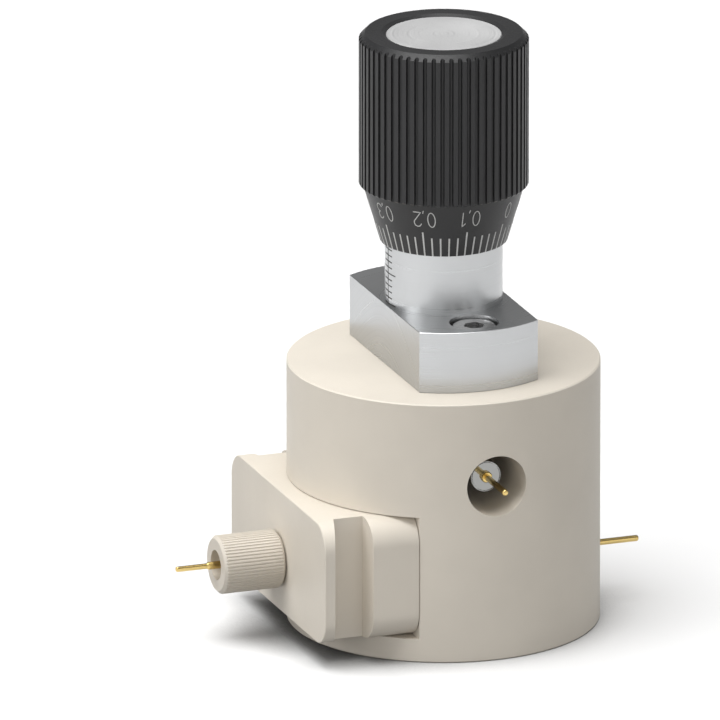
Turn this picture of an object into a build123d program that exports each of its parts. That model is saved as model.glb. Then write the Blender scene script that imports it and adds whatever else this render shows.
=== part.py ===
"""Three electrode test cell with a micrometer driven plunger.

Millimetres, +Z up. The origin is the centre of the round base that the cell
stands on. The reference block and its gland knob are on the -X side, the
counter pin on +X, and the contact hole with the working pin opens to -Y.
"""
import os

from build123d import *

# Clearances that tie the fits together
slide_fit = 0.05
running_fit = 0.10
thread_fit = 0.02
seat_fit = 0.15
edge_break = 0.20
fine_break = 0.12
crisp_break = 0.08
dome_share = 0.35

# Cell body
body_d = 50.0
body_h = 43.0
floor_t = 6.0
bore_d = 18.0

# Electrode stack, from the body floor upwards
collector_h = 5.5
counter_t = 0.4
separator_t = 1.2
working_t = 0.25
stack_gap = 0.55
electrode_edge = 0.10
collector_ring_d = 1.2
collector_ring_below = 0.95

# Plunger
plunger_rise = 2.5
plunger_pocket_d = 12.8
plunger_ring_d = 1.7
plunger_ring_above = 2.6
thrust_disc_t = 1.0
thrust_disc_d = 12.0
retainer_h = 2.3

# Contact hole, stud and working pin
contact_below_top = 14.0
contact_hole_d = 10.0
stud_d = 5.2
stud_thread_d = 4.0
stud_thread_len = 4.5
stud_spot_depth = 0.45
stud_sink = 5.5
stud_ring_d = 4.8
stud_disc_d = 4.55
stud_groove = 0.30
pin_d = 1.0
pin_collar_d = 1.8
pin_collar_len = 0.6
pin_collar_hold = 4.5
working_pin_proud = 3.7

# Counter pin
counter_pin_up = 3.0
counter_pin_root = 3.0
counter_pin_proud = 8.2
counter_shank_d = 2.0

# Reference block in its slot across the body
slot_back = 12.05
slot_bottom = 4.0
block_w = 44.1
block_h = 20.0
block_proud = 3.0
block_corner = 4.2
grip_depth = 4.6
grip_w = 4.9
grip_plate_t = 3.0
grip_plate_taper = 1.3
grip_wall_taper = 0.25

# Reference port between the block and the bore
boss_d = 6.0
port_depth = 1.65
gasket_t = 0.8
port_hole_d = 1.3
ref_pin_d = 1.24
ref_pin_thin_d = 0.9
ref_pin_thick_proud = 1.3
ref_pin_thin_len = 5.5
pin_taper = 0.3

# Gland that clamps the reference pin
gland_thread_d = 6.0
gland_depth = 9.6
ferrule_nose = 1.2
ferrule_len = 1.4
gland_washer_t = 0.9
knob_d = 9.4
knob_gap = 0.20
knob_len = 10.3
knob_recess_d = 4.8
knob_recess = 2.5
knob_break = 0.5
knob_flutes = 54
knob_flute_d = 0.32

# Micrometer barrel: flange and sleeve in one piece
flange_d = 38.0
flange_w = 20.0
flange_h = 10.0
spigot_h = 3.0
sleeve_d = 18.76
sleeve_len = 31.0
nut_len = 20.0
nut_relief = 8.0
nut_d = 13.0
nut_lip_d = 16.4
nut_lip_h = 1.0

# Flange screws
screw_from_end = 5.0
screw_d = 4.0
screw_head_d = 7.0
screw_head_h = 4.0
screw_sink = 0.5
screw_pocket_d = 7.9
screw_hole_d = 4.3
screw_len = 13.0
screw_key = 3.0
screw_key_depth = 2.0

# Spindle
spindle_d = 8.0
spindle_collar_d = 10.0
spindle_collar_h = 2.0

# Thimble
thimble_up = 9.95
cone_bottom_d = 20.3
cone_top_d = 25.75
cone_h = 9.15
grip_d = 27.0
grip_chamfer = 1.0
grip_foot_break = 0.25
grip_flutes = 60
flute_d = 0.72
flute_inset = 0.165
flute_turn = 3.0
thimble_room = 1.3
spindle_hold = 5.0
disc_d = 18.4
disc_t = 1.0
disc_recess = 0.3
disc_rim_d = 19.9

# Screw that holds the thimble on the spindle
clamp_d = 3.0
clamp_head_d = 5.5
clamp_head_h = 2.8
clamp_len = 9.0
clamp_web = 1.5
clamp_key = 2.5
clamp_key_depth = 1.5


def turned(points):
    """Solid of revolution about Z from (radius, height) points."""
    return revolve(Plane.XZ * Polygon(*points, align=None), axis=Axis.Z)


def rod(d, z0, z1):
    """Upright round bar between two heights."""
    return Pos(0, 0, z0) * extrude(Circle(d / 2), z1 - z0)


def tube(outer_d, inner_d, z0, z1):
    """Upright round bar with a through bore."""
    return rod(outer_d, z0, z1) - rod(inner_d, z0 - edge_break, z1 + edge_break)


def broken_rod(d, z0, z1, b):
    """Upright round bar with both rims chamfered."""
    r = d / 2
    return turned([(0, z0), (r - b, z0), (r, z0 + b), (r, z1 - b), (r - b, z1), (0, z1)])


def domed_rod(d, z0, z1):
    """Upright round bar whose upper end is slightly domed."""
    return fillet(rod(d, z0, z1).edges().sort_by(Axis.Z)[-1], dome_share * d)


def stepped_pin(thick_d, thin_d, z0, step, z1):
    """Upright pin that tapers to a thinner, domed end above a step."""
    taper_end = step + pin_taper
    thick = turned(
        [
            (0, z0),
            (thick_d / 2, z0),
            (thick_d / 2, step),
            (thin_d / 2, taper_end),
            (0, taper_end),
        ]
    )
    return thick + domed_rod(thin_d, taper_end, z1)


def hex_pocket(flats, z0, depth):
    """Upright hexagon for a key, sunk below height z0."""
    outline = RegularPolygon(flats / 2, 6, major_radius=False)
    return Pos(0, 0, z0 - depth) * extrude(outline, depth + edge_break)


def o_ring(outer_d, section_d, z):
    """Round section sealing ring about Z."""
    section = Plane.XZ * Pos((outer_d - section_d) / 2, z) * Circle(section_d / 2)
    return revolve(section, axis=Axis.Z)


def ring_groove(outer_d, section_d, z):
    """Ring shaped cut that takes a sealing ring, centred on height z."""
    half_h = section_d / 2 + slide_fit
    floor_d = outer_d - 2 * section_d - 2 * thread_fit
    return tube(outer_d + edge_break, floor_d, z - half_h, z + half_h)


def fluted_rod(d, z0, z1, count, cut_d, inset, first_at):
    """Upright bar with straight round bottomed flutes all around."""
    cuts = PolarLocations(d / 2 - inset, count, first_at) * Circle(cut_d / 2)
    return Pos(0, 0, z0) * extrude(Circle(d / 2) - cuts, z1 - z0)


def to_minus_x(shape, z):
    """Lay an upright shape along -X at height z."""
    return Pos(0, 0, z) * Rot(0, -90, 0) * shape


def to_plus_x(shape, z):
    """Lay an upright shape along +X at height z."""
    return Pos(0, 0, z) * Rot(0, 90, 0) * shape


def to_minus_y(shape, z):
    """Lay an upright shape along -Y at height z."""
    return Pos(0, 0, z) * Rot(90, 0, 0) * shape


# Heights in the body, from the floor up through the stack and the plunger
body_r = body_d / 2
bore_r = bore_d / 2
fitted_d = bore_d - 2 * slide_fit
electrode_d = bore_d - 2 * electrode_edge
collector_top = floor_t + collector_h
counter_top = collector_top + counter_t
separator_top = counter_top + separator_t
working_top = separator_top + working_t
plunger_bottom = working_top + stack_gap
plunger_top = body_h - spigot_h - plunger_rise
retainer_bottom = plunger_top - retainer_h
spindle_bottom = retainer_bottom - seat_fit - spindle_collar_h
thrust_top = spindle_bottom - slide_fit
pocket_floor = thrust_top - thrust_disc_t
collector_ring_at = collector_top - collector_ring_below
plunger_ring_at = plunger_bottom + plunger_ring_above
counter_pin_z = floor_t + counter_pin_up
contact_z = body_h - contact_below_top
port_z = counter_top + separator_t / 2

# Distances out from the body axis for the stud, the block and the pins
stud_seat = fitted_d / 2 - stud_spot_depth
stud_root = stud_seat - stud_thread_len
stud_face = body_r - stud_sink
collar_face = stud_face + pin_collar_len
pin_root = stud_face - pin_collar_hold
working_tip = body_r + working_pin_proud
counter_tip = body_r + counter_pin_proud
slot_top = slot_bottom + block_h
slot_mid = (slot_bottom + slot_top) / 2
block_back = slot_back + seat_fit
block_face = body_r + block_proud
block_side = block_w / 2
port_end = slot_back - port_depth
gasket_face = port_end + gasket_t
boss_end = gasket_face + slide_fit
ref_root = bore_r + electrode_edge
gland_bore_end = block_face - gland_depth
gland_cone_end = gland_bore_end + ferrule_nose
ferrule_end = gland_cone_end + ferrule_len
washer_start = ferrule_end + slide_fit
washer_end = washer_start + gland_washer_t
gland_shank_end = washer_end + slide_fit
knob_start = block_face + knob_gap
knob_end = knob_start + knob_len
ref_pin_step = knob_end + ref_pin_thick_proud
ref_tip = ref_pin_step + ref_pin_thin_len

# Heights above the body: flange, sleeve, nut, spindle and thimble
flange_top = body_h + flange_h
screw_y = flange_d / 2 - screw_from_end
screw_head_top = flange_top - screw_sink
screw_seat = screw_head_top - screw_head_h
screw_tip = screw_seat - screw_len
sleeve_top = flange_top + sleeve_len
nut_bottom = sleeve_top - nut_len
nut_pocket_bottom = nut_bottom - nut_relief
nut_top = sleeve_top + nut_lip_h
thimble_bottom = flange_top + thimble_up
grip_bottom = thimble_bottom + cone_h
thimble_ceiling = nut_top + thimble_room
spindle_top = thimble_ceiling + spindle_hold
clamp_seat = spindle_top + clamp_web
clamp_head_top = clamp_seat + clamp_head_h
clamp_tip = clamp_seat - clamp_len
disc_seat = clamp_head_top + edge_break
disc_top = disc_seat + disc_t
thimble_top = disc_top + disc_recess

# Cell body: turned outside, stepped bore, slot, contact hole and pin holes
cell_body = turned(
    [
        (0, 0),
        (body_r - edge_break, 0),
        (body_r, edge_break),
        (body_r, body_h - edge_break),
        (body_r - edge_break, body_h),
        (bore_r + edge_break, body_h),
        (bore_r, body_h - edge_break),
        (bore_r, floor_t),
        (0, floor_t),
    ]
)
slot_x = -slot_back - body_r
cell_body -= Pos(slot_x, 0, slot_mid) * Box(body_d, body_d + edge_break, block_h + 2 * seat_fit)
hole_out = body_r + edge_break
cell_body -= to_minus_y(rod(contact_hole_d, 0, hole_out), contact_z)
cell_body -= to_plus_x(rod(counter_shank_d + 2 * thread_fit, 0, hole_out), counter_pin_z)
cell_body -= to_minus_x(rod(port_hole_d, 0, hole_out), port_z)
cell_body -= to_minus_x(rod(boss_d + 2 * slide_fit, port_end, hole_out), port_z)
for side in (-1, 1):
    cell_body -= Pos(0, side * screw_y) * rod(
        screw_d + 2 * thread_fit, screw_tip - seat_fit, body_h + edge_break
    )

# Electrode stack resting on the body floor
counter_collector = broken_rod(fitted_d, floor_t, collector_top, fine_break)
counter_collector -= ring_groove(fitted_d, collector_ring_d, collector_ring_at)
counter_collector -= to_plus_x(
    rod(counter_shank_d + 2 * thread_fit, counter_pin_root - thread_fit, body_r), counter_pin_z
)
collector_seal = o_ring(fitted_d, collector_ring_d, collector_ring_at)
counter_electrode = rod(electrode_d, collector_top, counter_top)
separator = rod(electrode_d, counter_top, separator_top)
working_electrode = rod(electrode_d, separator_top, working_top)
counter_step = body_r - edge_break
counter_pin = stepped_pin(counter_shank_d, pin_d, counter_pin_root, counter_step, counter_tip)
counter_pin = to_plus_x(counter_pin, counter_pin_z)

# Plunger with the pocket that takes the spindle collar
piston = broken_rod(fitted_d, plunger_bottom, plunger_top, edge_break)
piston -= rod(plunger_pocket_d, pocket_floor, plunger_top + edge_break)
piston -= ring_groove(fitted_d, plunger_ring_d, plunger_ring_at)
piston -= to_minus_y(
    rod(stud_thread_d + 2 * thread_fit, stud_root - seat_fit, body_r), contact_z
)
piston -= to_minus_y(rod(stud_d + 2 * running_fit, stud_seat, body_r), contact_z)
piston_seal = o_ring(fitted_d, plunger_ring_d, plunger_ring_at)
thrust_disc = broken_rod(thrust_disc_d, pocket_floor, thrust_top, fine_break)
piston_retainer = tube(
    plunger_pocket_d - 2 * thread_fit,
    spindle_d + 2 * running_fit,
    retainer_bottom,
    plunger_top,
)

# Contact stud screwed into the plunger, with its bright face ring and pin
contact_stud = rod(stud_thread_d, stud_root, stud_seat)
contact_stud += broken_rod(stud_d, stud_seat, stud_face, fine_break)
contact_stud -= tube(stud_ring_d, stud_disc_d, stud_face - stud_groove, stud_face + edge_break)
contact_stud -= rod(pin_collar_d + 2 * thread_fit, pin_root - thread_fit, stud_face + edge_break)
contact_stud = to_minus_y(contact_stud, contact_z)
working_pin = broken_rod(pin_collar_d, pin_root, collar_face, fine_break)
working_pin += domed_rod(pin_d, collar_face - edge_break, working_tip)
working_pin = to_minus_y(working_pin, contact_z)

# Micrometer barrel: flange cut to width, spigot below and sleeve above
flange = Circle(flange_d / 2) & Rectangle(flange_w, flange_d)
barrel = Pos(0, 0, body_h) * extrude(flange, flange_h)
rim_edges = barrel.faces().sort_by(Axis.Z)[-1].edges() + barrel.faces().sort_by(Axis.Z)[0].edges()
barrel = chamfer(rim_edges, crisp_break)
barrel += rod(fitted_d, body_h - spigot_h, body_h + edge_break)
barrel += rod(sleeve_d, flange_top - edge_break, sleeve_top)
barrel -= rod(
    spindle_d + 2 * slide_fit, body_h - spigot_h - edge_break, nut_pocket_bottom + edge_break
)
barrel -= rod(nut_d, nut_pocket_bottom, sleeve_top + edge_break)
for side in (-1, 1):
    barrel -= Pos(0, side * screw_y) * rod(screw_hole_d, body_h - edge_break, flange_top)
    barrel -= Pos(0, side * screw_y) * rod(screw_pocket_d, screw_seat, flange_top + edge_break)
micrometer_barrel = barrel
spindle_nut = rod(nut_d - 2 * thread_fit, nut_bottom, sleeve_top)
spindle_nut += rod(nut_lip_d, sleeve_top, nut_top)
spindle_nut -= rod(spindle_d + 2 * slide_fit, nut_bottom - edge_break, nut_top + edge_break)

# Socket head screw, drawn once and used on both sides of the sleeve
socket_screw = broken_rod(screw_d, screw_tip, screw_seat + edge_break, edge_break)
socket_screw += broken_rod(screw_head_d, screw_seat, screw_head_top, edge_break)
socket_screw -= hex_pocket(screw_key, screw_head_top, screw_key_depth)
flange_screw_front = Pos(0, -screw_y) * socket_screw
flange_screw_rear = Pos(0, screw_y) * socket_screw

# Spindle from its collar in the plunger up into the thimble
spindle = broken_rod(spindle_d, spindle_bottom, spindle_top, fine_break)
spindle += broken_rod(
    spindle_collar_d, spindle_bottom, spindle_bottom + spindle_collar_h, fine_break
)
spindle -= rod(clamp_d + 2 * thread_fit, clamp_tip - seat_fit, spindle_top + edge_break)

# Thimble: marked cone, fluted grip, recess for the top disc
cone_r0 = cone_bottom_d / 2
cone_r1 = cone_top_d / 2
grip_r = grip_d / 2
thimble_bore_d = sleeve_d + 2 * running_fit
cone = turned(
    [
        (0, thimble_bottom),
        (cone_r0, thimble_bottom),
        (cone_r1, grip_bottom),
        (cone_r1, grip_bottom + edge_break),
        (0, grip_bottom + edge_break),
    ]
)
grip = fluted_rod(
    grip_d, grip_bottom, thimble_top, grip_flutes, flute_d, flute_inset, flute_turn
)
grip &= turned(
    [
        (0, grip_bottom),
        (grip_r - grip_foot_break, grip_bottom),
        (grip_r, grip_bottom + grip_foot_break),
        (grip_r, thimble_top - grip_chamfer),
        (grip_r - grip_chamfer, thimble_top),
        (0, thimble_top),
    ]
)
thimble = cone + grip
thimble -= rod(thimble_bore_d, thimble_bottom - edge_break, thimble_ceiling)
thimble -= rod(spindle_d + 2 * thread_fit, thimble_bottom, spindle_top)
thimble -= rod(clamp_d + 2 * running_fit, spindle_top - edge_break, clamp_seat)
thimble -= rod(clamp_head_d + 2 * running_fit, clamp_seat, disc_seat + edge_break)
thimble -= rod(disc_d + 2 * slide_fit, disc_seat, thimble_top + edge_break)
thimble -= turned(
    [
        (0, disc_top),
        (disc_d / 2 + slide_fit, disc_top),
        (disc_rim_d / 2, thimble_top),
        (disc_rim_d / 2, thimble_top + edge_break),
        (0, thimble_top + edge_break),
    ]
)
thimble_disc = broken_rod(disc_d, disc_seat, disc_top, fine_break)
thimble_screw = broken_rod(clamp_d, clamp_tip, clamp_seat + edge_break, fine_break)
thimble_screw += broken_rod(clamp_head_d, clamp_seat, clamp_head_top, edge_break)
thimble_screw -= hex_pocket(clamp_key, clamp_head_top, clamp_key_depth)

# Reference block with grip notches, sealing boss and gland bore
outline = Plane.YZ * Pos(0, slot_mid) * RectangleRounded(block_w, block_h, block_corner)
reference_block = Pos(-block_face, 0, 0) * extrude(outline, block_face - block_back)
front_edges = reference_block.faces().sort_by(Axis.X)[0].edges()
reference_block = chamfer(front_edges, fine_break)
reference_block += to_minus_x(rod(boss_d, boss_end, block_back + edge_break), port_z)
grip_floor = block_side - grip_depth
grip_plate_root = block_face - grip_plate_t
grip_wall_root = grip_plate_root - grip_w
notch = Polygon(
    (-grip_plate_root, grip_floor),
    (-grip_plate_root - grip_plate_taper, block_side),
    (grip_wall_taper - grip_wall_root, block_side),
    (-grip_wall_root, grip_floor),
    align=None,
)
grip_cut = Pos(0, 0, slot_mid) * extrude(notch, block_h / 2, both=True)
reference_block -= grip_cut
reference_block -= mirror(grip_cut, about=Plane.XZ)
reference_block -= to_minus_x(
    rod(ref_pin_d + 2 * thread_fit, boss_end - edge_break, block_face), port_z
)
gland_bore_r = gland_thread_d / 2 + slide_fit
reference_block -= to_minus_x(
    turned(
        [
            (0, gland_bore_end),
            (ref_pin_d / 2 + thread_fit, gland_bore_end),
            (gland_bore_r, gland_cone_end),
            (gland_bore_r, block_face + edge_break),
            (0, block_face + edge_break),
        ]
    ),
    port_z,
)
port_gasket = to_minus_x(tube(boss_d, port_hole_d, port_end, gasket_face), port_z)

# Reference pin with its thinner outer end
reference_pin = stepped_pin(ref_pin_d, ref_pin_thin_d, ref_root, ref_pin_step, ref_tip)
reference_pin = to_minus_x(reference_pin, port_z)

# Ferrule, washer and knurled knob of the gland
ferrule_r = gland_thread_d / 2 - thread_fit
gland_ferrule = turned(
    [
        (ref_pin_d / 2 + thread_fit, gland_bore_end + seat_fit),
        (ferrule_r, gland_cone_end + seat_fit),
        (ferrule_r, ferrule_end),
        (ref_pin_d / 2 + thread_fit, ferrule_end),
    ]
)
gland_ferrule = to_minus_x(gland_ferrule, port_z)
gland_washer = tube(
    gland_thread_d - 2 * thread_fit, ref_pin_d + 2 * running_fit, washer_start, washer_end
)
gland_washer = to_minus_x(gland_washer, port_z)
gland_knob = fluted_rod(knob_d, knob_start, knob_end, knob_flutes, knob_flute_d, 0, 0)
gland_knob &= broken_rod(knob_d, knob_start, knob_end, knob_break)
gland_knob += rod(gland_thread_d, gland_shank_end, knob_start + edge_break)
gland_knob -= rod(ref_pin_d + 2 * running_fit, gland_shank_end - edge_break, knob_end)
gland_knob -= rod(knob_recess_d, knob_end - knob_recess, knob_end + edge_break)
gland_knob = to_minus_x(gland_knob, port_z)

pieces = {
    "cell_body": cell_body,
    "micrometer_barrel": micrometer_barrel,
    "flange_screw_front": flange_screw_front,
    "flange_screw_rear": flange_screw_rear,
    "spindle_nut": spindle_nut,
    "spindle": spindle,
    "thimble": thimble,
    "thimble_disc": thimble_disc,
    "thimble_screw": thimble_screw,
    "piston": piston,
    "piston_seal": piston_seal,
    "piston_retainer": piston_retainer,
    "thrust_disc": thrust_disc,
    "contact_stud": contact_stud,
    "working_pin": working_pin,
    "working_electrode": working_electrode,
    "separator": separator,
    "counter_electrode": counter_electrode,
    "counter_collector": counter_collector,
    "collector_seal": collector_seal,
    "counter_pin": counter_pin,
    "reference_block": reference_block,
    "reference_pin": reference_pin,
    "port_gasket": port_gasket,
    "gland_ferrule": gland_ferrule,
    "gland_washer": gland_washer,
    "gland_knob": gland_knob,
}

os.makedirs("parts", exist_ok=True)
for node, shape in pieces.items():
    export_step(shape, f"parts/{node}.step")
    box = shape.bounding_box()
    print(node, len(shape.solids()), round(shape.volume, 2), box.min, box.max)
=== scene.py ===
"""Looks of the test cell: finishes, engraved scales, studio and camera.

Metres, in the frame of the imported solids. Sizes that are easier to read in
millimetres are multiplied by MM where they are set.
"""

from math import atan, cos, hypot, pi, radians, sin

import bmesh
import bpy
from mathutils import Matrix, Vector


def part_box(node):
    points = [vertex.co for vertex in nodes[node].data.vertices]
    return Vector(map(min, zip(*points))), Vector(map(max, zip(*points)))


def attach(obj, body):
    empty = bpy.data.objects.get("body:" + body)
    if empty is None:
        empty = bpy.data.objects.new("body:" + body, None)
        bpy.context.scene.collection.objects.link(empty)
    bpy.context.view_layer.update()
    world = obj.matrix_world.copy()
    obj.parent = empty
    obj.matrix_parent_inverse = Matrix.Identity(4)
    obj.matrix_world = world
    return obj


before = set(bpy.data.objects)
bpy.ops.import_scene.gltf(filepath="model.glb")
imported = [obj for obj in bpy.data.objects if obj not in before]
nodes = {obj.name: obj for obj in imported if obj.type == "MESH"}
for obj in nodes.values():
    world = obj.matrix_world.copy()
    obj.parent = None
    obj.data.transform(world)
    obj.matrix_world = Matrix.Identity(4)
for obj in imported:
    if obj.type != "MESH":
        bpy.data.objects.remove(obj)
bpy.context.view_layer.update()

MM = 0.001

# Sizes of the marked surfaces, as on the solids
SLEEVE_R = 9.38 * MM
SLEEVE_H = 31.0 * MM
FLANGE_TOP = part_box("micrometer_barrel")[1].z - SLEEVE_H
CONE_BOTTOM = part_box("thimble")[0].z
CONE_R0 = 10.15 * MM
CONE_R1 = 12.875 * MM
CONE_H = 9.15 * MM
CONE_SLOPE = atan((CONE_R1 - CONE_R0) / CONE_H)

# How far the paint of every mark stands off the metal, and reaches into it
MARK_PROUD = 0.02 * MM

# Marks of the thimble: fiftieths of a turn, with a longer one at each figure
THIMBLE_MARKS = 50
MARKS_PER_FIGURE = 5
MARK_W = 0.23 * MM
MARK_SHORT = 3.4 * MM
MARK_LONG = 4.45 * MM

# Figures of the thimble
FIGURE_ZERO = radians(-55.1)  # the zero, around the axis from +X
FIGURE_H = 2.68 * MM
FIGURE_LOW = 5.55 * MM  # up the cone, from its lower rim
FIGURE_SHIFT = 0.49 * MM  # around the cone, from the middle of the long mark
FIGURE_NARROW = 0.92  # width of a figure against the strokes as drawn
FIGURE_STROKE = 0.14 * MM
FIGURE_STEP = 0.3 * MM  # longest straight part, so that a stroke follows the cone

# Marks of the sleeve: whole millimetres above the flange, on the -X side
SLEEVE_MARKS = 14
SLEEVE_PITCH = 1.0 * MM
SLEEVE_MARK_W = 0.19 * MM
SLEEVE_MARK_SHORT = 1.45 * MM
SLEEVE_MARK_LONG = 2.5 * MM
SLEEVE_DATUM_H = (SLEEVE_MARKS + 0.5) * SLEEVE_PITCH
SLEEVE_SIDE = pi


# Node helpers

def feed(tree, value, target):
    """Set a socket to a number, or link it to another socket."""
    if isinstance(value, (int, float, tuple)):
        target.default_value = value
    else:
        tree.links.new(value, target)


def calc(tree, operation, *values, kind="ShaderNodeMath"):
    """First result of a math node, fed with numbers or sockets."""
    node = tree.nodes.new(kind)
    node.operation = operation
    for target, value in zip(node.inputs, values):
        feed(tree, value, target)
    return node.outputs[0]


def length_of(tree, vector):
    """Length of a vector."""
    node = tree.nodes.new("ShaderNodeVectorMath")
    node.operation = "LENGTH"
    tree.links.new(vector, node.inputs[0])
    return node.outputs["Value"]


def own_place(tree):
    """Coordinates of the piece itself."""
    return tree.nodes.new("ShaderNodeTexCoord").outputs["Object"]


def group_sockets(tree, inputs, outputs):
    """Name a node group's sockets and give its input and output nodes."""
    for name, kind, value in inputs:
        socket = tree.interface.new_socket(name, in_out="INPUT", socket_type=kind)
        socket.default_value = value
    for name, kind in outputs:
        tree.interface.new_socket(name, in_out="OUTPUT", socket_type=kind)
    return tree.nodes.new("NodeGroupInput"), tree.nodes.new("NodeGroupOutput")


def grey(value):
    """Opaque neutral colour."""
    return (value, value, value, 1)


def ramp(tree, source, target, low, high, stops=(0.3, 0.7)):
    """Feed a socket from a value, through a ramp between two colours."""
    node = tree.nodes.new("ShaderNodeValToRGB")
    for element, place, colour in zip(node.color_ramp.elements, stops, (low, high)):
        element.position = place
        element.color = colour
    tree.links.new(source, node.inputs["Fac"])
    tree.links.new(node.outputs["Color"], target)


def noise(tree, vector, scale, detail):
    """Noise in space, at a scale given by a number or a socket."""
    texture = tree.nodes.new("ShaderNodeTexNoise")
    texture.inputs["Detail"].default_value = detail
    tree.links.new(vector, texture.inputs["Vector"])
    feed(tree, scale, texture.inputs["Scale"])
    return texture.outputs["Fac"]


# Surface patterns that the finishes share

RING_DETAIL = 3.0
BLOTCH_SCALE = 90.0
BLOTCH_DETAIL = 2.0
FINE_DETAIL = 2.0
CLOUD_DETAIL = 3.0


def turning_group():
    """Fine rings that a lathe tool leaves, about the piece's own Z axis."""
    tree = bpy.data.node_groups.new("turning marks", "ShaderNodeTree")
    inputs = [
        ("Rings per metre", "NodeSocketFloat", 4000.0),
        ("Wander", "NodeSocketFloat", 0.3),
    ]
    group_in, group_out = group_sockets(tree, inputs, [("Height", "NodeSocketFloat")])
    place = own_place(tree)
    apart = tree.nodes.new("ShaderNodeSeparateXYZ")
    across = tree.nodes.new("ShaderNodeCombineXYZ")
    tree.links.new(place, apart.inputs["Vector"])
    for axis in "XY":
        tree.links.new(apart.outputs[axis], across.inputs[axis])
    radius = length_of(tree, across.outputs["Vector"])
    rings = tree.nodes.new("ShaderNodeTexNoise")
    rings.noise_dimensions = "1D"
    rings.inputs["Detail"].default_value = RING_DETAIL
    tree.links.new(calc(tree, "ADD", radius, apart.outputs["Z"]), rings.inputs["W"])
    tree.links.new(group_in.outputs["Rings per metre"], rings.inputs["Scale"])
    mixed = tree.nodes.new("ShaderNodeMix")
    tree.links.new(group_in.outputs["Wander"], mixed.inputs["Factor"])
    tree.links.new(rings.outputs["Fac"], mixed.inputs["A"])
    tree.links.new(noise(tree, place, BLOTCH_SCALE, BLOTCH_DETAIL), mixed.inputs["B"])
    tree.links.new(mixed.outputs["Result"], group_out.inputs["Height"])
    return tree


def grain_group():
    """Fine speckle and slow cloudiness of a machined or moulded stock."""
    tree = bpy.data.node_groups.new("stock grain", "ShaderNodeTree")
    inputs = [
        ("Fine scale", "NodeSocketFloat", 2600.0),
        ("Cloud scale", "NodeSocketFloat", 60.0),
    ]
    outputs = [("Fine", "NodeSocketFloat"), ("Cloud", "NodeSocketFloat")]
    group_in, group_out = group_sockets(tree, inputs, outputs)
    place = own_place(tree)
    for name, detail in (("Fine", FINE_DETAIL), ("Cloud", CLOUD_DETAIL)):
        speckle = noise(tree, place, group_in.outputs[name + " scale"], detail)
        tree.links.new(speckle, group_out.inputs[name])
    return tree


TURNING = turning_group()
GRAIN = grain_group()


# Finishes

def finish_named(name):
    """Empty material with its Principled shader."""
    material = bpy.data.materials.new(name)
    material.use_nodes = True
    tree = material.node_tree
    return material, tree, tree.nodes["Principled BSDF"]


def use_group(tree, group, **values):
    """Outputs of a placed node group; underscores in names stand for spaces."""
    node = tree.nodes.new("ShaderNodeGroup")
    node.node_tree = group
    for name, value in values.items():
        node.inputs[name.replace("_", " ")].default_value = value
    return node.outputs


def spread(colour, by):
    """A slightly darker and a slightly lighter tone of one colour."""
    low = tuple(max(0.0, part * (1 - by)) for part in colour) + (1,)
    high = tuple(min(1.0, part * (1 + by)) for part in colour) + (1,)
    return low, high


def clouded(tree, shader, tones, fine, cloud):
    """Let the colour drift between two tones, and give the stock's grain."""
    grain = use_group(tree, GRAIN, Fine_scale=fine, Cloud_scale=cloud)
    ramp(tree, grain["Cloud"], shader.inputs["Base Color"], *tones)
    return grain


def sheen(tree, shader, source, low, high, stops=(0.3, 0.7)):
    """Let the roughness follow a pattern between two values."""
    ramp(tree, source, shader.inputs["Roughness"], grey(low), grey(high), stops)


def bump(tree, shader, height, strength, distance):
    """Bump a height into the shader's normal."""
    node = tree.nodes.new("ShaderNodeBump")
    node.inputs["Strength"].default_value = strength
    node.inputs["Distance"].default_value = distance
    tree.links.new(height, node.inputs["Height"])
    tree.links.new(node.outputs["Normal"], shader.inputs["Normal"])


def machined_polymer(name, colour, roughness):
    """Cream engineering plastic, turned and milled, with a faint speckle."""
    material, tree, shader = finish_named(name)
    grain = clouded(tree, shader, spread(colour, by=0.035), fine=2400.0, cloud=70.0)
    rings = use_group(tree, TURNING, Rings_per_metre=2600.0, Wander=0.35)
    sheen(tree, shader, grain["Fine"], low=roughness - 0.05, high=roughness + 0.06)
    shader.inputs["Specular IOR Level"].default_value = 0.45
    bump(tree, shader, rings["Height"], strength=0.10, distance=0.04 * MM)
    return material


def turned_metal(name, colour, roughness, strength=0.15, spread_by=0.04):
    """Bare metal with fine tool rings."""
    material, tree, shader = finish_named(name)
    rings = use_group(tree, TURNING, Rings_per_metre=3000.0, Wander=0.25)
    clouded(tree, shader, spread(colour, spread_by), fine=3000.0, cloud=110.0)
    sheen(
        tree,
        shader,
        rings["Height"],
        low=roughness * 0.85,
        high=roughness * 1.2,
        stops=(0.35, 0.65),
    )
    shader.inputs["Metallic"].default_value = 1.0
    bump(tree, shader, rings["Height"], strength, distance=0.03 * MM)
    return material


def black_anodised(name):
    """Black anodised aluminium with a fine satin grain."""
    material, tree, shader = finish_named(name)
    tones = (0.011, 0.011, 0.0115, 1), (0.016, 0.016, 0.017, 1)
    grain = clouded(tree, shader, tones, fine=3600.0, cloud=80.0)
    sheen(tree, shader, grain["Fine"], low=0.36, high=0.46)
    shader.inputs["Specular IOR Level"].default_value = 0.42
    bump(tree, shader, grain["Fine"], strength=0.08, distance=0.02 * MM)
    return material


def soft_stock(name, colour, roughness, fine=3000.0, strength=0.2):
    """Rubber, felt, carbon and paint: an even colour with a fine tooth."""
    material, tree, shader = finish_named(name)
    grain = clouded(tree, shader, spread(colour, by=0.08), fine, cloud=140.0)
    rough_most = min(1.0, roughness + 0.08)
    sheen(tree, shader, grain["Fine"], low=roughness - 0.06, high=rough_most)
    bump(tree, shader, grain["Fine"], strength, distance=0.04 * MM)
    return material


CREAM = (0.70, 0.645, 0.56)
CREAM_KNOB = (0.63, 0.58, 0.505)

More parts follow.
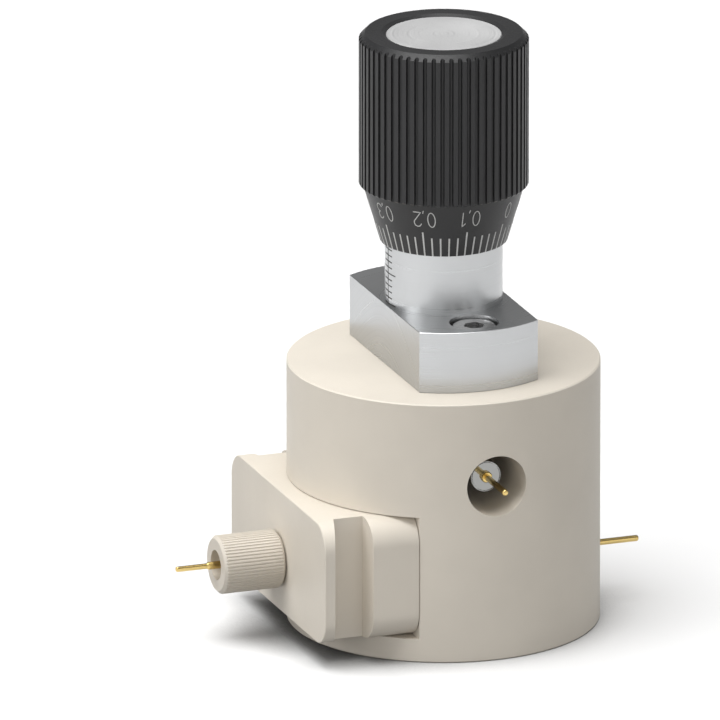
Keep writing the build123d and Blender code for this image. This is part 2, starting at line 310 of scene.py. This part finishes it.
body_polymer = machined_polymer("body polymer", CREAM, roughness=0.48)
block_polymer = machined_polymer("block polymer", CREAM, roughness=0.50)
knob_polymer = machined_polymer("knob polymer", CREAM_KNOB, roughness=0.50)

barrel_aluminium = turned_metal(
    "barrel aluminium", (0.52, 0.528, 0.534), roughness=0.32, strength=0.008, spread_by=0.015
)
disc_aluminium = turned_metal(
    "disc aluminium", (0.73, 0.73, 0.73), roughness=0.55, strength=0.04
)
screw_steel = turned_metal("screw steel", (0.55, 0.55, 0.55), roughness=0.28)
ground_steel = turned_metal("ground steel", (0.62, 0.62, 0.63), roughness=0.22)
plunger_steel = turned_metal("plunger steel", (0.66, 0.66, 0.67), roughness=0.24)
polished_steel = turned_metal(
    "polished steel", (0.31, 0.31, 0.30), roughness=0.08, strength=0.02
)
pin_gold = turned_metal("pin gold", (0.66, 0.49, 0.19), roughness=0.18, strength=0.04)
nut_bronze = turned_metal("nut bronze", (0.72, 0.50, 0.28), roughness=0.30)
thimble_black = black_anodised("thimble black")

seal_rubber = soft_stock("seal rubber", (0.02, 0.02, 0.02), roughness=0.55)
electrode_carbon = soft_stock(
    "electrode carbon", (0.025, 0.025, 0.027), roughness=0.8, fine=4200.0
)
separator_mat = soft_stock(
    "separator mat", (0.80, 0.80, 0.78), roughness=0.85, fine=2400.0, strength=0.5
)
ferrule_white = soft_stock("ferrule white", (0.82, 0.82, 0.80), roughness=0.4)
scale_white = soft_stock("scale white", (0.62, 0.62, 0.61), roughness=0.6, strength=0.05)
scale_black = soft_stock("scale black", (0.035, 0.035, 0.035), roughness=0.6, strength=0.05)

FINISHES = {
    "cell_body": body_polymer,
    "reference_block": block_polymer,
    "gland_knob": knob_polymer,
    "micrometer_barrel": barrel_aluminium,
    "flange_screw_front": screw_steel,
    "flange_screw_rear": screw_steel,
    "spindle_nut": nut_bronze,
    "spindle": ground_steel,
    "thimble": thimble_black,
    "thimble_disc": disc_aluminium,
    "thimble_screw": screw_steel,
    "piston": plunger_steel,
    "piston_seal": seal_rubber,
    "piston_retainer": plunger_steel,
    "thrust_disc": ground_steel,
    "contact_stud": polished_steel,
    "working_pin": pin_gold,
    "working_electrode": electrode_carbon,
    "separator": separator_mat,
    "counter_electrode": electrode_carbon,
    "counter_collector": plunger_steel,
    "collector_seal": seal_rubber,
    "counter_pin": pin_gold,
    "reference_pin": pin_gold,
    "port_gasket": ferrule_white,
    "gland_ferrule": ferrule_white,
    "gland_washer": screw_steel,
}


def dress(node, material):
    """Give every slot of a solid its finish."""
    mesh = nodes[node].data
    if not mesh.materials:
        mesh.materials.append(material)
    for place in range(len(mesh.materials)):
        mesh.materials[place] = material


for node_name, node_finish in FINISHES.items():
    dress(node_name, node_finish)


# Engraved marks, made by node trees that repeat one bar

BAR_POINTS_AROUND = 9
BAR_POINTS_ALONG = 2


def marks_tree(name, material):
    """Rows of flat bars, wrapped around Z on a cylinder or a cone.

    The bars are laid out flat: X is off the surface, Y around it and Z along
    it. The last step rolls them up, with Radius and Base at the row's foot
    and Lean as the half angle of the cone. Every nth bar is longer.
    """
    tree = bpy.data.node_groups.new(name, "GeometryNodeTree")
    inputs = [
        ("Count", "NodeSocketInt", 10),
        ("Long every", "NodeSocketInt", 5),
        ("Long factor", "NodeSocketFloat", 1.3),
        ("Grow", "NodeSocketVector", (0, 0, 1)),
        ("Step", "NodeSocketVector", (0, 0, 0)),
        ("Size", "NodeSocketVector", (0, 0, 0)),
        ("Shift", "NodeSocketVector", (0, 0, 0)),
        ("Start", "NodeSocketFloat", 0.0),
        ("Radius", "NodeSocketFloat", 0.01),
        ("Base", "NodeSocketFloat", 0.0),
        ("Lean", "NodeSocketFloat", 0.0),
    ]
    outputs = [("Geometry", "NodeSocketGeometry")]
    group_in, group_out = group_sockets(tree, inputs, outputs)
    given = group_in.outputs
    new = tree.nodes.new
    link = tree.links.new

    def math(operation, *values):
        return calc(tree, operation, *values)

    def scaled(vector, factor):
        node = new("ShaderNodeVectorMath")
        node.operation = "SCALE"
        link(vector, node.inputs["Vector"])
        link(factor, node.inputs["Scale"])
        return node.outputs["Vector"]

    # A row of places, one step apart
    index = new("GeometryNodeInputIndex").outputs["Index"]
    row = new("GeometryNodePoints")
    link(given["Count"], row.inputs["Count"])
    link(scaled(given["Step"], index), row.inputs["Position"])

    # One bar, with its foot on the row
    bar = new("GeometryNodeMeshCube")
    link(given["Size"], bar.inputs["Size"])
    bar.inputs["Vertices Y"].default_value = BAR_POINTS_AROUND
    bar.inputs["Vertices Z"].default_value = BAR_POINTS_ALONG
    seated = new("GeometryNodeTransform")
    link(bar.outputs["Mesh"], seated.inputs["Geometry"])
    link(given["Shift"], seated.inputs["Translation"])

    # A bar at every place, longer at every nth
    is_long = math("LESS_THAN", math("MODULO", index, given["Long every"]), 0.5)
    extra = math("MULTIPLY", is_long, math("SUBTRACT", given["Long factor"], 1.0))
    growth = scaled(given["Grow"], extra)
    stretch = calc(tree, "ADD", growth, (1, 1, 1), kind="ShaderNodeVectorMath")
    copies = new("GeometryNodeInstanceOnPoints")
    link(row.outputs["Points"], copies.inputs["Points"])
    link(seated.outputs["Geometry"], copies.inputs["Instance"])
    link(stretch, copies.inputs["Scale"])
    real = new("GeometryNodeRealizeInstances")
    link(copies.outputs["Instances"], real.inputs["Geometry"])

    # The flat row, rolled up around Z
    flat = new("ShaderNodeSeparateXYZ")
    link(new("GeometryNodeInputPosition").outputs["Position"], flat.inputs["Vector"])
    off, around, along = (flat.outputs[axis] for axis in "XYZ")
    lean_cos = math("COSINE", given["Lean"])
    lean_sin = math("SINE", given["Lean"])
    angle = math("ADD", given["Start"], math("DIVIDE", around, given["Radius"]))
    reach = math("ADD", math("MULTIPLY", off, lean_cos), math("MULTIPLY", along, lean_sin))
    radius = math("ADD", given["Radius"], reach)
    climb = math("SUBTRACT", math("MULTIPLY", along, lean_cos), math("MULTIPLY", off, lean_sin))
    place = new("ShaderNodeCombineXYZ")
    link(math("MULTIPLY", radius, math("COSINE", angle)), place.inputs["X"])
    link(math("MULTIPLY", radius, math("SINE", angle)), place.inputs["Y"])
    link(math("ADD", given["Base"], climb), place.inputs["Z"])
    rolled = new("GeometryNodeSetPosition")
    link(real.outputs["Geometry"], rolled.inputs["Geometry"])
    link(place.outputs["Vector"], rolled.inputs["Position"])
    painted = new("GeometryNodeSetMaterial")
    painted.inputs["Material"].default_value = material
    link(rolled.outputs["Geometry"], painted.inputs["Geometry"])
    link(painted.outputs["Geometry"], group_out.inputs["Geometry"])
    return tree


def kept(name, mesh):
    """Link a finished mesh at the origin under a plain name."""
    mesh.name = name
    piece = bpy.data.objects.new(name, mesh)
    bpy.context.scene.collection.objects.link(piece)
    return piece


def grown(name, tree, values):
    """Run a node tree with named inputs and keep the result as a plain mesh."""
    host = bpy.data.objects.new(name + "_host", bpy.data.meshes.new(name + "_host"))
    bpy.context.scene.collection.objects.link(host)
    modifier = host.modifiers.new("marks", "NODES")
    modifier.node_group = tree
    for socket in tree.interface.items_tree:
        if socket.in_out == "INPUT":
            modifier[socket.identifier] = values[socket.name]
    bpy.context.view_layer.update()
    shown = host.evaluated_get(bpy.context.evaluated_depsgraph_get())
    mesh = bpy.data.meshes.new_from_object(shown)
    bpy.data.objects.remove(host)
    return kept(name, mesh)


WHITE_MARKS = marks_tree("white marks", scale_white)
BLACK_MARKS = marks_tree("black marks", scale_black)

# Marks around the thimble's cone

thimble_marks = grown(
    "thimble_marks",
    WHITE_MARKS,
    {
        "Count": THIMBLE_MARKS,
        "Long every": MARKS_PER_FIGURE,
        "Long factor": MARK_LONG / MARK_SHORT,
        "Grow": (0.0, 0.0, 1.0),
        "Step": (0.0, -2 * pi * CONE_R0 / THIMBLE_MARKS, 0.0),
        "Size": (2 * MARK_PROUD, MARK_W, MARK_SHORT),
        "Shift": (0.0, 0.0, MARK_SHORT / 2),
        "Start": FIGURE_ZERO,
        "Radius": CONE_R0,
        "Base": CONE_BOTTOM,
        "Lean": CONE_SLOPE,
    },
)
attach(thimble_marks, "thimble")


# Figures of the thimble, drawn as single strokes in a unit-high box

def bow(cx, cy, rx, ry, start, end, steps=20):
    """Points of an elliptical arc, in degrees, with so many steps to a full turn."""
    count = max(3, int(abs(end - start) / 360 * steps) + 1)
    turns = [start + (end - start) * i / count for i in range(count + 1)]
    return [(cx + rx * cos(radians(a)), cy + ry * sin(radians(a))) for a in turns]


STROKES = {
    "0": [bow(0.24, 0.5, 0.24, 0.5, 90, 450, 28)],
    "1": [[(0.04, 0.78), (0.26, 1.0), (0.26, 0.0)]],
    "2": [bow(0.25, 0.74, 0.24, 0.26, 170, -35) + [(0.0, 0.0), (0.52, 0.0)]],
    "3": [
        bow(0.23, 0.76, 0.22, 0.24, 165, -90),
        bow(0.23, 0.27, 0.25, 0.27, 90, -165),
    ],
    "4": [[(0.40, 0.0), (0.40, 1.0), (0.0, 0.28), (0.54, 0.28)]],
    "5": [
        [(0.46, 1.0), (0.08, 1.0), (0.04, 0.56)]
        + bow(0.23, 0.31, 0.25, 0.31, 125, -155)
    ],
    "6": [bow(0.25, 0.28, 0.25, 0.28, 150, -210, 24) + [(0.40, 1.0)]],
    "7": [[(0.0, 1.0), (0.50, 1.0), (0.16, 0.0)]],
    "8": [
        bow(0.25, 0.76, 0.20, 0.24, 90, 450),
        bow(0.25, 0.26, 0.25, 0.26, 90, 450),
    ],
    "9": [bow(0.25, 0.72, 0.25, 0.28, -30, 330, 24) + [(0.10, 0.0)]],
    ",": [[(0.08, 0.07), (0.02, -0.13)]],
}
NARROW_ADVANCE = {"1": 0.44, ",": 0.22}
PLAIN_ADVANCE = 0.70
PLAIN_WIDTH = 0.5
CLOSED_WITHIN = 1e-9
MERGED_WITHIN = 1e-7
RIBBON_CORNERS = 4


def text_strokes(text):
    """Strokes of a short text, centred on zero, in unit heights."""
    lines = []
    pen = 0.0
    for sign in text:
        lines += [[(pen + x, y) for x, y in stroke] for stroke in STROKES[sign]]
        pen += NARROW_ADVANCE.get(sign, PLAIN_ADVANCE)
    width = pen - (PLAIN_ADVANCE - PLAIN_WIDTH)
    return [[(x - width / 2, y) for x, y in line] for line in lines]


def divided(line, step):
    """The same line with points no further apart than a step."""
    points = [line[0]]
    for (ax, ay), (bx, by) in zip(line, line[1:]):
        count = max(1, int(hypot(bx - ax, by - ay) / step) + 1)
        for i in range(1, count + 1):
            points.append((ax + (bx - ax) * i / count, ay + (by - ay) * i / count))
    return points


def ribbon(line, width):
    """Left and right rims of a line of even width, as pairs of (x, y)."""
    rims = []
    last = len(line) - 1
    gap = hypot(line[0][0] - line[last][0], line[0][1] - line[last][1])
    closed = gap < CLOSED_WITHIN
    for i, (x, y) in enumerate(line):
        before = line[i - 1] if i else line[last - 1 if closed else 0]
        after = line[i + 1] if i < last else line[1 if closed else last]
        ax, ay = x - before[0], y - before[1]
        bx, by = after[0] - x, after[1] - y
        a_len = hypot(ax, ay) or 1.0
        b_len = hypot(bx, by) or 1.0
        dx = ax / a_len + bx / b_len
        dy = ay / a_len + by / b_len
        length = hypot(dx, dy) or 1.0
        side_x = -dy / length * width / 2
        side_y = dx / length * width / 2
        rims.append(((x + side_x, y + side_y), (x - side_x, y - side_y)))
    return rims


def on_cone(x, y, proud, centre):
    """Place a flat point of an upside-down text on the thimble's cone."""
    along = FIGURE_LOW + FIGURE_H - y
    radius = CONE_R0 + along * sin(CONE_SLOPE)
    angle = centre + (FIGURE_SHIFT - x) / radius
    radius += proud * cos(CONE_SLOPE)
    height = CONE_BOTTOM + along * cos(CONE_SLOPE) - proud * sin(CONE_SLOPE)
    return (radius * cos(angle), radius * sin(angle), height)


def add_stroke(verts, faces, rims, centre):
    """Add one closed ribbon, sunk into the cone and standing proud of it."""
    first = len(verts)
    for left, right in rims:
        corners = (
            (left, MARK_PROUD),
            (right, MARK_PROUD),
            (right, -MARK_PROUD),
            (left, -MARK_PROUD),
        )
        verts += [on_cone(x, y, proud, centre) for (x, y), proud in corners]
    last = len(verts) - RIBBON_CORNERS
    for a in range(first, last, RIBBON_CORNERS):
        b = a + RIBBON_CORNERS
        for k in range(RIBBON_CORNERS):
            n = (k + 1) % RIBBON_CORNERS
            faces.append((a + k, a + n, b + n, b + k))
    faces.append((first + 3, first + 2, first + 1, first))
    faces.append((last, last + 1, last + 2, last + 3))


def face_outwards(mesh):
    """Merge doubles and turn every closed shell's faces outwards."""
    work = bmesh.new()
    work.from_mesh(mesh)
    bmesh.ops.remove_doubles(work, verts=work.verts, dist=MERGED_WITHIN)
    bmesh.ops.recalc_face_normals(work, faces=work.faces)
    work.to_mesh(mesh)
    work.free()


def thimble_figures():
    """The ten figures around the cone, as one mesh of closed ribbons."""
    verts = []
    faces = []
    for tenth in range(THIMBLE_MARKS // MARKS_PER_FIGURE):
        text = f"0,{tenth}" if tenth else "0"
        centre = FIGURE_ZERO - 2 * pi * tenth * MARKS_PER_FIGURE / THIMBLE_MARKS
        for line in text_strokes(text):
            sized = [(x * FIGURE_H * FIGURE_NARROW, y * FIGURE_H) for x, y in line]
            rims = ribbon(divided(sized, FIGURE_STEP), FIGURE_STROKE)
            add_stroke(verts, faces, rims, centre)
    mesh = bpy.data.meshes.new("thimble_figures")
    mesh.from_pydata(verts, [], faces)
    mesh.materials.append(scale_white)
    face_outwards(mesh)
    return kept("thimble_figures", mesh)


figures = thimble_figures()
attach(figures, "thimble")


# Scale on the sleeve: a datum line and whole millimetres to both sides of it,
# every fifth one longer on the near side

def across_datum(short, full):
    """What sets apart the row of marks on one side of the datum line."""
    return {
        "Count": SLEEVE_MARKS + 1,
        "Long factor": full / short,
        "Size": (2 * MARK_PROUD, abs(short), SLEEVE_MARK_W),
        "Shift": (0.0, short / 2, SLEEVE_MARK_W / 2),
    }


SLEEVE_ROWS = {
    "sleeve_marks_near": across_datum(SLEEVE_MARK_SHORT, SLEEVE_MARK_LONG),
    "sleeve_marks_far": across_datum(-SLEEVE_MARK_SHORT, -SLEEVE_MARK_SHORT),
    "sleeve_datum": {
        "Count": 1,
        "Long factor": 1.0,
        "Size": (2 * MARK_PROUD, SLEEVE_MARK_W, SLEEVE_DATUM_H),
        "Shift": (0.0, 0.0, SLEEVE_DATUM_H / 2),
    },
}
SLEEVE_SHARED = {
    "Long every": MARKS_PER_FIGURE,
    "Grow": (0.0, 1.0, 0.0),
    "Step": (0.0, 0.0, SLEEVE_PITCH),
    "Start": SLEEVE_SIDE,
    "Radius": SLEEVE_R,
    "Base": FLANGE_TOP,
    "Lean": 0.0,
}

for row_name, row_sizes in SLEEVE_ROWS.items():
    marks = grown(row_name, BLACK_MARKS, SLEEVE_SHARED | row_sizes)
    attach(marks, "housing")


# Studio

FLOOR_SIZE = 6.0
FLOOR_TONE = 0.85
FLOOR_BOUNCE = 0.25
# Painted shade on the floor: its darkest tone, the ambient occlusion stops it spans, its
# samples and its reach from the cell
FLOOR_SHADE = 0.03
FLOOR_SHADE_STOPS = (0.12, 0.7)
FLOOR_SHADE_SAMPLES = 8
FLOOR_CONTACT = 14.0 * MM
FLOOR_FAR = (0.25, 0.9)
FLOOR_FAR_GLOW = 0.3

ROOM_LIGHT = 0.26
LAMP_AIM = Vector((0, 0, 0.045))
LAMPS = {
    "overhead": {"place": (-0.22, 0.0, 1.2), "size": (1.1, 1.1), "power": 18.5},
    "left": {"place": (-1.0, -0.1, 0.5), "size": (0.5, 0.5), "power": 2.2},
    "front left": {"place": (-1.21, -0.7, 0.42), "size": (2.2, 0.6), "power": 4.3},
    "front right": {"place": (0.6, -1.27, 0.42), "size": (2.2, 0.6), "power": 4.5},
}


def floor_finish():
    """Pale floor whose colour is darkened close to the cell as painted shade, and which glows
    far from it.

    The pale tone is for the camera, mirrors and clear pieces only: the light
    that the floor throws back on the cell comes from a darker one.
    """
    material, tree, shader = finish_named("studio floor")
    path = tree.nodes.new("ShaderNodeLightPath")
    seen = path.outputs["Is Camera Ray"]
    for ray in ("Is Glossy Ray", "Is Transmission Ray"):
        seen = calc(tree, "MAXIMUM", seen, path.outputs[ray])

    # Painted shade: ambient occlusion darkens the floor's colour under and around the cell, the
    # most under the block
    nearness = tree.nodes.new("ShaderNodeAmbientOcclusion")
    nearness.samples = FLOOR_SHADE_SAMPLES
    nearness.inputs["Distance"].default_value = FLOOR_CONTACT
    tone = tree.nodes.new("ShaderNodeMix")
    tone.data_type = "RGBA"
    for socket, lit in (("A", FLOOR_BOUNCE), ("B", FLOOR_TONE)):
        ramp(
            tree,
            nearness.outputs["AO"],
            tone.inputs[socket],
            grey(FLOOR_SHADE),
            grey(lit),
            FLOOR_SHADE_STOPS,
        )
    tree.links.new(seen, tone.inputs["Factor"])
    tree.links.new(tone.outputs["Result"], shader.inputs["Base Color"])

    # The far floor would turn grey in low views, so it gets a glow of its own
    glow = tree.nodes.new("ShaderNodeMath")
    glow.operation = "MULTIPLY"
    away = length_of(tree, own_place(tree))
    ramp(tree, away, glow.inputs[0], grey(0), grey(FLOOR_FAR_GLOW), FLOOR_FAR)
    tree.links.new(seen, glow.inputs[1])
    shader.inputs["Emission Color"].default_value = grey(1)
    tree.links.new(glow.outputs["Value"], shader.inputs["Emission Strength"])

    shader.inputs["Roughness"].default_value = 0.9
    shader.inputs["Specular IOR Level"].default_value = 0.1
    return material


def studio_floor():
    """Flat floor under the base."""
    mesh = bpy.data.meshes.new("studio_floor")
    half = FLOOR_SIZE / 2
    corners = [(-half, -half, 0), (half, -half, 0), (half, half, 0), (-half, half, 0)]
    mesh.from_pydata(corners, [], [(0, 1, 2, 3)])
    mesh.materials.append(floor_finish())
    piece = kept("studio_floor", mesh)


def softbox(name, place, size, power):
    """Rectangular area lamp, aimed at the middle of the cell."""
    lamp = bpy.data.lights.new(name, "AREA")
    lamp.shape = "RECTANGLE"
    lamp.size, lamp.size_y = size
    lamp.energy = power
    holder = bpy.data.objects.new(name, lamp)
    holder.location = place
    aim = LAMP_AIM - Vector(place)
    holder.rotation_euler = aim.to_track_quat("-Z", "Y").to_euler()
    bpy.context.scene.collection.objects.link(holder)


def room_light():
    """Even white surroundings."""
    world = bpy.data.worlds.new("studio")
    world.use_nodes = True
    back = world.node_tree.nodes["Background"]
    back.inputs["Color"].default_value = grey(1)
    back.inputs["Strength"].default_value = ROOM_LIGHT
    bpy.context.scene.world = world


studio_floor()
room_light()
for lamp_name, lamp_sizes in LAMPS.items():
    softbox(lamp_name, **lamp_sizes)


# Camera, at the angle fitted to the photograph

CAMERA_TURN = radians(-19.98)
CAMERA_RISE = radians(17.79)
CAMERA_AWAY = 4.0
CAMERA_LENS = 1258.0
CAMERA_SENSOR = 36.0
CAMERA_NEAREST = 0.1
CAMERA_FURTHEST = 100.0
CAMERA_AIM = Vector((-13.23, 2.49, 43.19)) * MM


def photo_camera():
    """Long lens camera that frames the cell as the photograph does."""
    back = Vector((
        cos(CAMERA_RISE) * sin(CAMERA_TURN),
        -cos(CAMERA_RISE) * cos(CAMERA_TURN),
        sin(CAMERA_RISE),
    ))
    data = bpy.data.cameras.new("photo")
    data.lens = CAMERA_LENS
    data.sensor_width = CAMERA_SENSOR
    data.clip_start = CAMERA_NEAREST
    data.clip_end = CAMERA_FURTHEST
    holder = bpy.data.objects.new("photo", data)
    holder.location = CAMERA_AIM + back * CAMERA_AWAY
    holder.rotation_euler = back.to_track_quat("Z", "Y").to_euler()
    bpy.context.scene.collection.objects.link(holder)
    bpy.context.scene.camera = holder


photo_camera()
bpy.context.scene.view_settings.view_transform = "Standard"
